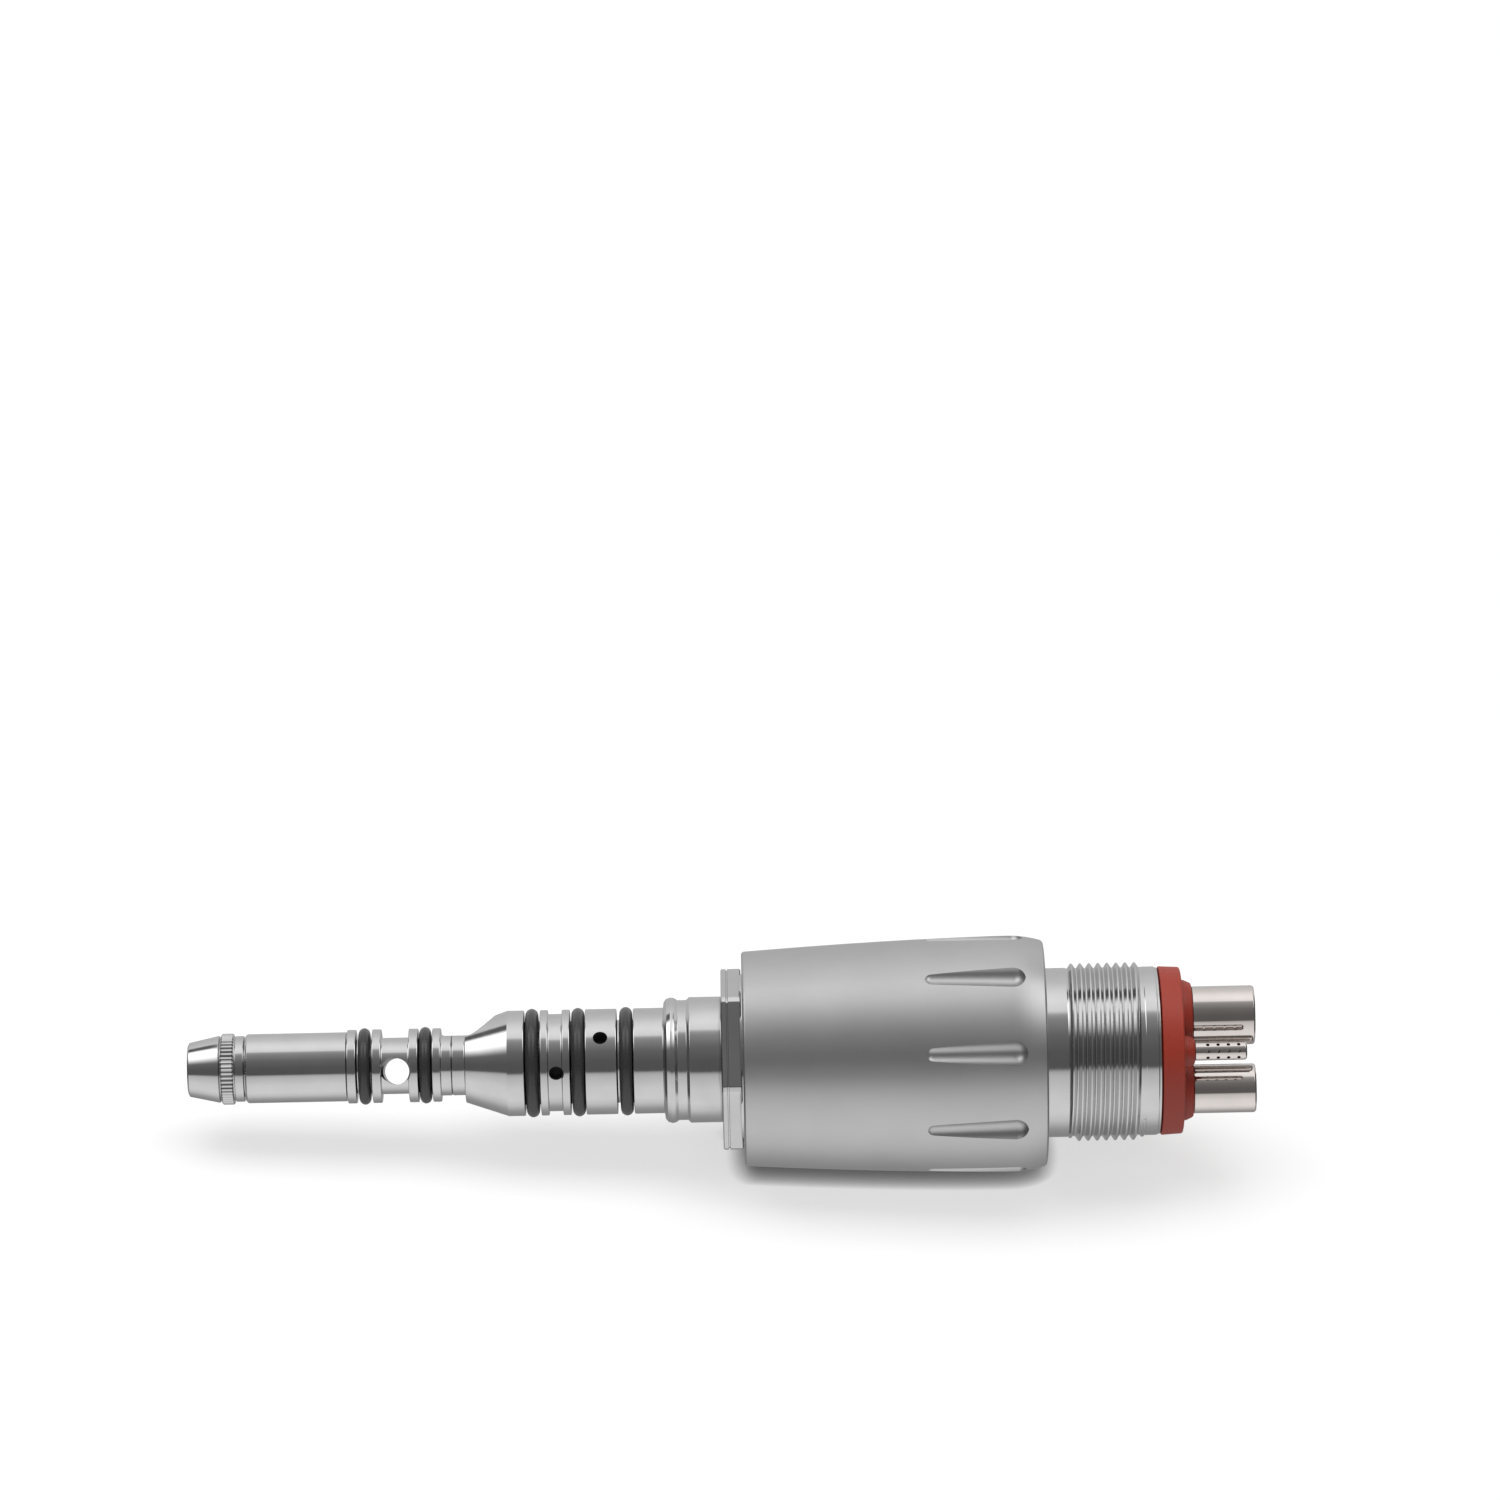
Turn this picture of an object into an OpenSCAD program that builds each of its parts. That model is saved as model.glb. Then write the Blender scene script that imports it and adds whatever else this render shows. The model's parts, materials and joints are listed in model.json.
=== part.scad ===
// Dental handpiece coupler with a lamp tip, a water-regulating ring and a threaded hose end.
// The axis is +X, from the lamp tip (-X) to the hose tubes (+X), and x = 0 is the front of the wrench flange.
// "Clock" angles run round the axis from the exhaust tube (0) towards the water tube (90).

/* [Coupler] */
// Clock angle that points straight up, along +Z
up_clock = 36; // [0:1:60]
// Radial gap of a running fit
run_gap = 0.06; // [0.04:0.01:0.08]
// Gap between fixed pieces that seat on each other
seat_gap = 0.02; // [0.01:0.01:0.03]

/* [Lamp tip] */
// Distance from the wrench flange to the tip of the lamp cap
tip_x = 37.57; // [37:0.01:38]
// Radius of the lamp cap at its front edge
cap_front_r = 1.94; // [1.9:0.01:2]
// Radius of the knurled grip of the lamp cap
knurl_r = 2.5; // [2.45:0.01:2.55]
// Number of teeth round the lamp cap's grip
knurl_teeth = 48; // [36:1:60]
// Radius of the lamp tube
lamp_tube_r = 2.43; // [2.4:0.01:2.45]
// Radius of the lamp's clear dome
dome_r = 1.15; // [1:0.01:1.18]

/* [Spigot] */
// Radius of the stem's flanges
stem_r = 2.59; // [2.55:0.01:2.62]
// Radius of the stem in its port groove
port_groove_r = 1.98; // [1.9:0.01:2.05]
// Radius of the neck between the stem's last flange and the cone
neck_r = 2.16; // [2.1:0.01:2.2]
// Diameter of the drive-air port across the stem
port_d = 1.85; // [1.6:0.05:1.9]
// Outer radius of the small seals on the stem
stem_seal_r = 2.69; // [2.65:0.01:2.7]
// Radius of the cone at its front edge
cone_front_r = 2.68; // [2.6:0.01:2.75]
// Radius of the cutter that milled the exhaust relief on top of the cone
relief_r = 1.92; // [1.8:0.01:1.92]
// Height of the relief's flat floor above the axis
relief_floor = 2.04; // [2:0.01:2.1]
// Radius of the main spigot
spigot_r = 3.71; // [3.68:0.01:3.72]
// Outer radius of the three large seals
spigot_seal_r = 3.82; // [3.8:0.01:3.84]
// Radius of the latch cylinder next to the wrench flange
latch_r = 4.42; // [4.4:0.01:4.45]
// Diameter of the air and water outlets
outlet_d = 0.95; // [0.7:0.05:1]

/* [Regulator ring] */
// Size of the wrench flange across its corners
hex_corners = 13.1; // [12.8:0.1:13.3]
// Length of the wrench flange along the axis
hex_length = 1.41; // [1.3:0.01:1.5]
// Largest radius of the ring
ring_r = 8.3; // [8.2:0.05:8.5]
// How much smaller the ring's radius is at its front
ring_rise = 0.75; // [0.5:0.05:0.9]
// Number of finger flutes round the ring
flutes = 9; // [6:1:12]
// Radius of the body that the ring turns on
core_r = 5.95; // [5.9:0.01:5.96]
// Turn of the ring each way from its middle setting, in degrees
ring_turn = 45; // [30:5:45]
// Travel of the metering pin over the whole turn
pin_lift = 0.5; // [0.3:0.05:0.5]

/* [Hose end] */
// Crest radius of the hose thread
thread_r = 6.3; // [6.25:0.01:6.35]
// Root radius of the hose thread
root_r = 5.95; // [5.9:0.01:5.96]
// Pitch of the hose thread, 40 to the inch
pitch = 0.635; // [0.635]
// Diameter of the exhaust tube
exhaust_d = 4.15; // [4:0.05:4.2]
// Diameter of the drive-air tube
drive_d = 3.44; // [3.4:0.01:3.5]
// Diameter of the water and chip-air tubes
small_d = 1.3; // [1.2:0.05:1.4]
// How much smaller the tubes' shanks are in radius, behind the shoulders that hold the gasket
shank_step = 0.2; // [0.18:0.01:0.22]
// Distance from the wrench flange to the ends of the large tubes
tube_end = 37.5; // [37:0.1:38]

/* [Hidden] */
$fn = 64;

// Lamp tip stations along the axis
cap_back = -33.6;      // rear face of the lamp cap's collar
tube_front = -33.5;    // front edge of the lamp tube
stem_front = -26.34;   // front face of the stem's first flange
cap_bore = 1.6;        // radius of the lamp's seat in the cap
skirt_r = 1.95;        // radius of the cap's skirt inside the lamp tube
lamp_r = 1.55;         // radius of the lamp's body
lamp_front = -36.05;   // front face of the lamp's body
lamp_rear = -31.5;     // rear face of the lamp's body
dome_x = -36.35;       // centre of the lamp's round dome

// Lamp pins and leads
pin_apart = 0.5;       // offset of each lamp pin from the axis
lead_apart = 0.21;     // half the distance between the two leads
lead_r = 0.16;

// Stem and spigot stations
seam_x = -19;          // where the stem's neck meets the spigot's
stem_tail_x = -16.5;   // rear end of the stem's tail
stem_tail_r = 1.75;
cone_x = -18.05;       // front edge of the cone
cone_base_x = -15.05;  // where the cone meets the spigot's cylinder
relief_x = -17.82;     // centre of the round exhaust relief
exhaust_x = -16.35;    // where the exhaust passages start in the relief
tail_x = 5;            // rear end of the spigot's tail inside the wrench flange
tail_r = 3.3;
seal_wide = 0.9;       // section of a large seal
stem_seal_wide = 0.8;  // section of a small seal
spigot_seal_x = [-13.33, -10.09, -6.72];
stem_seal_x = [-25.14, -20.86];
port_x = -22.89;       // centre of the drive-air port
port_down = 0.4;       // offset of the port below the axis, leaving room for the leads
port_clock = 85;

// Passages through the front bodies, each [clock angle, distance from the axis, radius]
drive_way = [180, 0.4, 0.75];
lead_way = [0, 1.15, 0.45];
chip_air_way = [102.7, 2.2, 0.4];
water_way = [63.1, 2.2, 0.4];
exhaust_ways = [for (angle = [-26, 0, 26]) [angle, 2.28, 0.44]];
chip_air_x = -11.62;   // outlet between seals 1 and 2
water_x = -8.5;        // outlet between seals 2 and 3

// Hose-end pattern, each [clock angle, distance from the axis]
exhaust_at = [0, 2.39];
drive_at = [180, 2.75];
water_at = [92, 3.2];
air_at = [268, 3.2];
contacts_at = [[312, 4.2], [227, 4.2]];
contact_r = 0.35;
sleeve_r = 0.6;
// Each hose tube as [place, radius]
collars = [[exhaust_at, exhaust_d / 2], [drive_at, drive_d / 2], [water_at, small_d / 2], [air_at, small_d / 2]];

// Valve body stations
split_x = 6.2;         // the wrench flange's hub meets the valve body
board_x = [6.25, 7.55];
air_gallery = [8.0, 8.8];
gallery_r = 5.25;
valve_end = 21.2;      // rear of the valve body's full radius
thread_in_x = 23.5;    // rear of the valve body's threaded nose
thread_in_r = 5.3;
ring_seal_x = [3.65, 9.95, 14.05, 17.85];
ring_seal_wide = 0.72;
ring_seal_groove = 0.95;
clip_x = 19.9;
clip_r = 0.3;
clip_root_r = 5.62;    // root of the clip's groove in the valve body
check_x = 15.2;        // front shoulder of the check valve's chamber
check_r = 1.1;
poppet_x = 18.9;       // the poppet's nose, at its seat

// Ring stations
ring_front = 1.48;
ring_peak = 20.3;      // where the ring is fattest
ring_back = 22.7;
ring_bore = core_r + run_gap;
flute_front = 14.1;
flute_back = 21.3;

// Metering pin, placed radially at the water passage's clock angle
pin_x = 12;
pin_clock = water_way[0];
cam_half_width = 1.0;
cam_gap = 0.04;
cam_margin = 9;        // degrees from each end of the pin's travel to the cam's stop
pin_top = 6.5;         // the pin's domed end at the middle setting
pin_bore_r = 0.62;
lift_per_degree = pin_lift / (2 * ring_turn);

// Hose end stations
thread_start = 24.3;
thread_turns = 8;
small_end = 36.75;     // ends of the water and chip-air tubes
shank_x = 25;          // where the tubes seat in the tube block
tube_bore = [1.675, 1.32, 0.3]; // exhaust, drive air, and both small tubes
land_x = 29.6;         // the plain land behind the thread
gasket_x = 30.75;
gasket_flat_x = 32.3;
collar_x = 33.1;

// ---------- helpers ----------

// A solid of revolution about the X axis from [radius, x] points.
module turned(points) rotate([0, 90, 0]) rotate_extrude() polygon(points);

// Turns its children, drawn along +Z, to a clock angle.
module clocked(angle) rotate([angle - up_clock, 0, 0]) children();

// A plain rod along X between two stations.
module rod(x0, x1, r) translate([x0, 0, 0]) rotate([0, 90, 0]) cylinder(r = r, h = x1 - x0);

// A rod parallel to the axis at [clock angle, distance].
module rod_at(at, x0, x1, r) clocked(at[0]) translate([0, 0, at[1]]) rod(x0, x1, r);

// A passage given as [clock angle, distance, radius].
module passage(way, x0, x1) rod_at(way, x0, x1, way[2]);

// A radial drilling at station x, from one distance out to another.
module drilling(x, angle, from, to, r)
    clocked(angle) translate([x, 0, from]) cylinder(r = r, h = to - from);

// A plain tube along X.
module pipe(x0, x1, r_out, r_in) difference() {
    rod(x0, x1, r_out);
    rod(x0 - 1, x1 + 1, r_in);
}

// A rubber ring at station x, with its outer radius and the width of its section.
module seal(x, r_out, wide) translate([x, 0, 0]) rotate([0, 90, 0])
    rotate_extrude() translate([r_out - wide / 2, 0]) circle(d = wide);

// A coil spring along +Z, swept as one closed skin round its helix.
module coil(r, wire_r, length, turns, steps = 16, sides = 6) {
    count = turns * steps;
    function at(i, k) =
        let (a = 360 * i / steps, b = 360 * k / sides, d = r + wire_r * cos(b))
        [d * cos(a), d * sin(a), length * i / count + wire_r * sin(b)];
    points = [for (i = [0:count]) for (k = [0:sides - 1]) at(i, k)];
    walls = [for (i = [0:count - 1]) for (k = [0:sides - 1])
        [i * sides + k, (i + 1) * sides + k, (i + 1) * sides + (k + 1) % sides, i * sides + (k + 1) % sides]];
    first = [for (k = [0:sides - 1]) k];
    last = [for (k = [sides - 1:-1:0]) count * sides + k];
    polyhedron(points, concat([first], walls, [last]));
}

// ---------- lamp tip ----------

module lamp_cap() color("silver") difference() {
    union() {
        turned([
            [0, -tip_x], [cap_front_r - 0.25, -tip_x], [cap_front_r - 0.07, -tip_x + 0.07],
            [cap_front_r, -tip_x + 0.22], [2.35, -35.35], [2.25, -35.25], [2.25, -34.25],
            [2.31, -34.2], [2.31, cap_back], [skirt_r, cap_back], [skirt_r, cap_back + 2], [0, cap_back + 2]
        ]);
        translate([-35.2, 0, 0]) rotate([0, 90, 0]) linear_extrude(0.9) polygon([
            for (i = [0:2 * knurl_teeth - 1])
                let (r = knurl_r - (i % 2) * 0.12, a = 180 * i / knurl_teeth) [r * cos(a), r * sin(a)]
        ]);
    }
    rod(lamp_front - 0.05, cap_back + 3, cap_bore);
    rod(-tip_x - 1, lamp_front, dome_r + 0.1);
}

module lamp_lens() color("white", 0.6) turned(concat(
    [for (a = [0:10:90]) [dome_r * sin(a), dome_x - dome_r * cos(a)]],
    [[dome_r, lamp_front - seat_gap], [0, lamp_front - seat_gap]]
));

module lamp_body() color("gainsboro") rod(lamp_front, lamp_rear, lamp_r);

module lamp_pins() color("gold") for (side = [-1, 1])
    clocked(90) translate([0, 0, side * pin_apart]) rod(lamp_rear + seat_gap, -29.5, 0.15);

module lead_pair(x0, x1, r) clocked(lead_way[0]) for (side = [-1, 1])
    translate([0, side * lead_apart, lead_way[1]]) rod(x0, x1, r);

module lamp_socket() color("dimgray") difference() {
    rod(lamp_rear + 0.1, -27.45, skirt_r);
    for (side = [-1, 1]) clocked(90) translate([0, 0, side * pin_apart]) rod(lamp_rear - 1, -29.3, 0.17);
    lead_pair(-28.6, -27, lead_r + seat_gap);
}

module lamp_tube() color("silver") difference() {
    turned([
        [0, tube_front], [lamp_tube_r - 0.12, tube_front], [lamp_tube_r, tube_front + 0.12],
        [lamp_tube_r, stem_front - 0.06], [0, stem_front - 0.06]
    ]);
    rod(tube_front - 1, stem_front + 1, skirt_r + run_gap);
}

module lamp_leads() color("firebrick") lead_pair(-28.5, board_x[0] + 0.3, lead_r);

// ---------- stem ----------

module stem() color("silver") difference() {
    turned([
        [0, -27.4], [skirt_r + 0.04, -27.4], [skirt_r + 0.04, stem_front], [stem_r, stem_front],
        [stem_r, -25.7], [1.86, -25.7], [1.86, -24.58], [stem_r, -24.58], [stem_r, -23.94],
        [port_groove_r, -23.94], [port_groove_r, -22.01], [stem_r, -22.01], [stem_r, -21.34],
        [1.86, -21.34], [1.86, -20.35], [stem_r, -20.35], [stem_r, -19.75], [neck_r, -19.75],
        [neck_r, seam_x - 0.05], [neck_r - 0.05, seam_x], [stem_tail_r, seam_x],
        [stem_tail_r, stem_tail_x], [0, stem_tail_x]
    ]);
    exhaust_relief();
    passage(drive_way, port_x - 0.2, stem_tail_x + 1);
    passage(lead_way, -28, stem_tail_x + 1);
    clocked(port_clock) translate([port_x, -port_down, -4]) cylinder(d = port_d, h = 8);
}

module stem_seal(i) color("dimgray") seal(stem_seal_x[i - 1], stem_seal_r, stem_seal_wide);

// ---------- spigot ----------

// The flat-floored round relief on the exhaust side, milled across the neck and the cone.
module exhaust_relief() clocked(0) translate([relief_x, 0, relief_floor]) cylinder(r = relief_r, h = 3);

module spigot_body() color("silver") difference() {
    turned([
        [0, seam_x + seat_gap], [neck_r - 0.05, seam_x + seat_gap], [neck_r, seam_x + 0.07],
        [neck_r, cone_x], [cone_front_r, cone_x], [spigot_r, cone_base_x],
        [spigot_r, -13.87], [2.91, -13.87], [2.91, -12.75], [spigot_r, -12.75],
        [spigot_r, -12.2], [3.42, -12.2], [3.42, -11.21], [spigot_r, -11.21], [spigot_r, -10.65],
        [2.91, -10.65], [2.91, -9.58], [spigot_r, -9.58], [spigot_r, -7.37], [2.91, -7.37],
        [2.91, -6.2], [spigot_r, -6.2], [spigot_r, -4.08], [4.2, -4.08], [latch_r - 0.01, -3.8],
        [latch_r - 0.01, -3.3], [4.22, -3.05], [4.22, -2.45], [latch_r, -2.25], [latch_r, 0],
        [tail_r, 0], [tail_r, tail_x], [0, tail_x]
    ]);
    exhaust_relief();
    rod(seam_x - 1, stem_tail_x + 0.05, stem_tail_r + seat_gap);
    passage(drive_way, stem_tail_x - 1, tail_x + 1);
    passage(lead_way, stem_tail_x - 1, tail_x + 1);
    passage(chip_air_way, chip_air_x - 0.3, tail_x + 1);
    passage(water_way, water_x - 0.3, tail_x + 1);
    for (way = exhaust_ways) passage(way, way[0] == 0 ? exhaust_x : exhaust_x - 0.45, tail_x + 1);
    drilling(chip_air_x, chip_air_way[0], chip_air_way[1], 5, outlet_d / 2);
    drilling(water_x, water_way[0], water_way[1], 5, outlet_d / 2);
}

module spigot_seal(i) color("dimgray") seal(spigot_seal_x[i - 1], spigot_seal_r, seal_wide);

// The passages that cross from the spigot into the bodies behind it.
module front_passages(x0, x1) {
    for (way = concat([drive_way, lead_way, chip_air_way, water_way], exhaust_ways)) passage(way, x0, x1);
}

module spigot_gasket() color("darkslategray") difference() {
    rod(tail_x + seat_gap, tail_x + 0.5, tail_r);
    front_passages(tail_x - 1, tail_x + 1);
}

// ---------- wrench flange and valve body ----------

module hexagon(x0, x1, corners) clocked(49.5) translate([x0, 0, 0]) rotate([0, 90, 0])
    rotate([0, 0, 180]) cylinder(d = corners, h = x1 - x0, $fn = 6);

// Seal grooves cut round the bodies inside the ring.
module ring_seal_grooves() for (x = ring_seal_x) difference() {
    rod(x - ring_seal_groove / 2, x + ring_seal_groove / 2, core_r + 1);
    rod(x - 1, x + 1, gallery_r);
}

module wrench_flange() color("silver") difference() {
    union() {
        hexagon(0, 0.38, hex_corners);
        hexagon(0.3, 0.5, hex_corners - 0.16);
        hexagon(0.46, hex_length, hex_corners);
        rod(hex_length - 0.1, split_x, core_r);
    }
    rod(-1, tail_x + 0.52, tail_r + seat_gap);
    front_passages(tail_x, split_x + 1);
    ring_seal_grooves();
}

// Outline of the contact board's pocket, a crescent on the far side with a tongue to the leads.
module board_outline(grow = 0) {
    difference() {
        intersection() {
            circle(r = 4.95 + grow);
            polygon([[0, 0], [-12, 14], [-12, -14]]);
        }
        circle(r = 3.35 - grow);
    }
    translate([-3.9 - grow, 0.66 - grow]) square([4.5 + 2 * grow, 0.8 + 2 * grow]);
}

// Extrudes a flat outline, drawn with the exhaust side up and the water side right, along X.
module across(x0, x1) clocked(0) translate([x0, 0, 0]) rotate([90, 0, 90])
    mirror([1, 0, 0]) linear_extrude(x1 - x0) children();

module contact_board() color("darkgreen") difference() {
    across(board_x[0], board_x[1]) board_outline();
    lead_pair(board_x[0] - 1, board_x[0] + 0.35, lead_r + seat_gap);
    for (at = contacts_at) rod_at(at, board_x[1] - 0.6, board_x[1] + 1, contact_r + seat_gap);
}

module valve_body() color("silver") difference() {
    union() {
        rod(split_x + seat_gap, valve_end, core_r);
        rod(valve_end - 1, thread_in_x, thread_in_r);
    }
    across(split_x - 1, board_x[1] + 0.05) board_outline(0.05);
    ring_seal_grooves();
    for (span = [air_gallery, [clip_x - 0.38, clip_x + 0.38]]) difference() {
        rod(span[0], span[1], core_r + 1);
        rod(span[0] - 1, span[1] + 1, span[0] < clip_x - 1 ? gallery_r : clip_root_r);
    }
    // Drive air: the stem's passage meets the drive tube's bore.
    passage(drive_way, split_x - 1, 19.5);
    rod_at(drive_at, 17.8, thread_in_x + 1, 1.42);
    // Exhaust: the passages meet the exhaust tube's bore.
    for (way = exhaust_ways) passage(way, split_x - 1, 15.2);
    rod_at(exhaust_at, 14.8, thread_in_x + 1, 1.7);
    // Chip air: round its gallery from the far side.
    passage(chip_air_way, split_x - 1, 8.7);
    drilling(8.4, chip_air_way[0], chip_air_way[1], core_r + 1, 0.36);
    drilling(8.4, air_at[0], air_at[1], core_r + 1, 0.36);
    rod_at(air_at, 8.1, thread_in_x + 1, 0.5);
    // Water: check valve chamber, cross drilling, metering seat and outlet.
    rod_at(water_at, check_x, thread_in_x + 1, check_r);
    rod_at(water_at, pin_x - 0.3, check_x + 1, 0.4);
    water_cross(0.4, -core_r - 1, 1.7);
    passage(water_way, split_x - 1, pin_x + 0.3);
    drilling(pin_x, pin_clock, water_way[1], 3.2, 0.2);
    drilling(pin_x, pin_clock, 2.95, core_r + 1, pin_bore_r);
    drilling(pin_x, pin_clock, 5.0, core_r + 1, 0.88);
    for (at = contacts_at) rod_at(at, board_x[1] - 0.5, thread_in_x + 1, sleeve_r + seat_gap);
    dowels(seat_gap);
}

// The water's cross drilling, parallel to the line through the large tubes.
module water_cross(r, z0, z1) clocked(0) translate([pin_x, -3.2, z0]) cylinder(r = r, h = z1 - z0);

module passage_plug() color("silver") water_cross(0.38, -4.85, -0.7);

// ---------- regulator ring ----------

ring_steps = 12;
barrel_x = ring_front + 0.12;
barrel = [for (i = [0:ring_steps]) let (x = barrel_x + (ring_peak - barrel_x) * i / ring_steps)
    [ring_r - ring_rise * pow((ring_peak - x) / (ring_peak - 1.7), 1.6), x]];
heel = [for (i = [1:4]) let (x = ring_peak + 2.25 * i / 4) [ring_r - pow(x - ring_peak, 2) / 15, x]];

// One finger flute at the top of the ring: a shallow scoop with a round heel.
module flute() {
    translate([flute_back - 0.92, 0, ring_r + 0.28]) sphere(0.92);
    translate([flute_front, 0, ring_r + 0.3]) rotate([0, 90, 0])
        cylinder(r1 = 0.55, r2 = 0.86, h = flute_back - 0.92 - flute_front);
}

// The spiral cam that moves the metering pin, with stops just past both ends of its travel.
module cam_outline() {
    span = ring_turn + cam_margin;
    polygon(concat(
        [for (a = [-span:3:span])
            let (r = pin_top + cam_gap + lift_per_degree * a, c = pin_clock + a) [r * sin(c), r * cos(c)]],
        [for (a = [span, 0, -span]) let (c = pin_clock + a) [4.9 * sin(c), 4.9 * cos(c)]]
    ));
}

module regulator_ring() color("darkgray") difference() {
    turned(concat([[0, ring_front], [barrel[0][0] - 0.12, ring_front]], barrel, heel,
        [[7.8, ring_back], [0, ring_back]]));
    rod(ring_front - 1, ring_back + 1, ring_bore);
    rod(clip_x - 0.42, clip_x + 0.42, 6.42);
    across(pin_x - cam_half_width, pin_x + cam_half_width) cam_outline();
    for (i = [0:flutes - 1]) clocked(90 + i * 360 / flutes) flute();
}

module ring_seal(i) color("dimgray") seal(ring_seal_x[i - 1], ring_bore - 0.03, ring_seal_wide);

// An open spring-wire ring, half in the valve body and half in the regulator ring.
module ring_clip() color("silver") translate([clip_x, 0, 0]) rotate([0, 90, 0])
    rotate_extrude(angle = 330) translate([clip_root_r + 0.04 + clip_r, 0]) circle(r = clip_r);

// ---------- metering pin ----------

module radially(angle) clocked(angle) translate([pin_x, 0, 0]) children();

module metering_pin() color("gainsboro") radially(pin_clock) rotate_extrude() polygon([
    [0, 3.0], [0.14, 3.2], [0.28, 3.3], [0.28, 3.9], [pin_bore_r - 0.04, 3.9], [pin_bore_r - 0.04, 4.25],
    [0.36, 4.25], [0.36, 4.65], [pin_bore_r - 0.04, 4.65], [pin_bore_r - 0.04, 4.95],
    [0.34, 4.95], [0.34, 5.7], [0.8, 5.7], [0.8, 5.95], [0.55, 6.0], [0.5, pin_top - 0.22],
    [0.36, pin_top - 0.08], [0.18, pin_top - 0.02], [0, pin_top]
]);

module metering_seal() color("dimgray") radially(pin_clock) translate([0, 0, 4.45])
    rotate_extrude() translate([0.48, 0]) circle(r = 0.11);

module metering_spring() color("silver") radially(pin_clock) translate([0, 0, 5.09])
    coil(0.62, 0.06, 0.54, 3, 14, 5);

// ---------- check valve ----------

module along_water(x) clocked(water_at[0]) translate([x, 0, water_at[1]]) rotate([0, 90, 0]) children();

module check_valve_seat() color("gold") along_water(poppet_x) difference() {
    cylinder(r = check_r - seat_gap, h = 1.2);
    translate([0, 0, -1]) cylinder(r = 0.4, h = 3);
}

module check_valve_poppet() color("black") along_water(poppet_x - 1.25) {
    cylinder(r = 0.5, h = 0.3);
    translate([0, 0, 0.25]) cylinder(r = check_r - 0.1, h = 0.98);
}

module check_valve_spring() color("silver") along_water(check_x + 0.08)
    coil(0.78, 0.07, poppet_x - 1 - check_x - 0.16, 5, 14, 5);

// ---------- hose end ----------

thread = [for (i = [0:thread_turns - 1]) let (x = thread_start + 0.12 + i * pitch) each [
    [root_r, x], [thread_r, x + 0.26], [thread_r, x + 0.34], [root_r, x + 0.6]
]];

module rear_connector() color("silver") difference() {
    turned(concat([[0, valve_end + seat_gap], [core_r, valve_end + seat_gap], [core_r, thread_start]], thread,
        [[5.93, land_x], [5.93, gasket_x - 0.15], [5.8, gasket_x], [0, gasket_x]]));
    rod(valve_end - 1, 24.55, thread_in_r + seat_gap);
    rod(24, gasket_x + 1, 5);
}

module tube_block() color("darkgray") difference() {
    union() {
        rod(thread_in_x + seat_gap, 24.5, thread_in_r);
        rod(24, gasket_x, 4.97);
    }
    rod_at(exhaust_at, 20, 26, 1.7);
    rod_at(drive_at, 20, 26, 1.42);
    for (at = [water_at, air_at]) rod_at(at, 20, 26, tube_bore[2]);
    for (c = collars) rod_at(c[0], shank_x, 40, c[1] - shank_step + seat_gap);
    for (at = contacts_at) rod_at(at, 20, 40, sleeve_r + seat_gap);
    dowels(seat_gap);
}

module dowels(gap = 0) for (angle = [35, 145]) rod_at([angle, 4.3], 22.3 - gap, 24.9 + gap, 0.4 + gap);
module dowel_pins() color("silver") dowels();

// A hose tube: a shank through the tube block and the gasket, and a free end behind its shoulder.
module hose_tube(at, r, bore, end_x) difference() {
    union() {
        rod_at(at, shank_x + seat_gap, end_x - 0.5, r - shank_step);
        rod_at(at, collar_x + seat_gap, end_x, r);
    }
    rod_at(at, shank_x - 1, end_x + 1, bore);
}

module exhaust_tube() color("silver") hose_tube(exhaust_at, exhaust_d / 2, tube_bore[0], tube_end);
module drive_tube() color("silver") hose_tube(drive_at, drive_d / 2, tube_bore[1], tube_end);

// The water and chip-air tubes are pierced all round as filters.
module pierced_tube(at) difference() {
    hose_tube(at, small_d / 2, tube_bore[2], small_end);
    for (row = [0:3]) for (turn = [0:3]) clocked(at[0])
        translate([34 + 0.72 * row, 0, at[1]]) rotate([45 * turn, 0, 0])
            cylinder(d = 0.25, h = 2, center = true);
}
module water_tube() color("silver") pierced_tube(water_at);
module air_tube() color("silver") pierced_tube(air_at);

// The rubber face that seals on the hose, with a raised collar round each tube.
module hose_gasket() color("brown") difference() {
    union() {
        turned([[0, gasket_x + seat_gap], [5.96, gasket_x + seat_gap], [5.86, gasket_flat_x - 0.15],
            [5.72, gasket_flat_x], [0, gasket_flat_x]]);
        for (c = collars) rod_cone(c[0], gasket_flat_x - 0.2, collar_x, c[1] + 0.5, c[1] + 0.2);
    }
    for (c = collars) rod_at(c[0], 30, 40, c[1] - shank_step + seat_gap);
    for (at = contacts_at) rod_at(at, 30, 40, sleeve_r + seat_gap);
}

module rod_cone(at, x0, x1, r0, r1) clocked(at[0]) translate([x0, 0, at[1]]) rotate([0, 90, 0])
    cylinder(r1 = r0, r2 = r1, h = x1 - x0);

module contact_pins() color("gold") for (at = contacts_at) rod_at(at, board_x[1] - 0.55, 34.4, contact_r);
module contact_sleeves() color("white") for (at = contacts_at)
    clocked(at[0]) translate([0, 0, at[1]]) pipe(board_x[1] + 0.02, 32.6, sleeve_r, contact_r + seat_gap);

// ---------- what is drawn ----------

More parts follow.
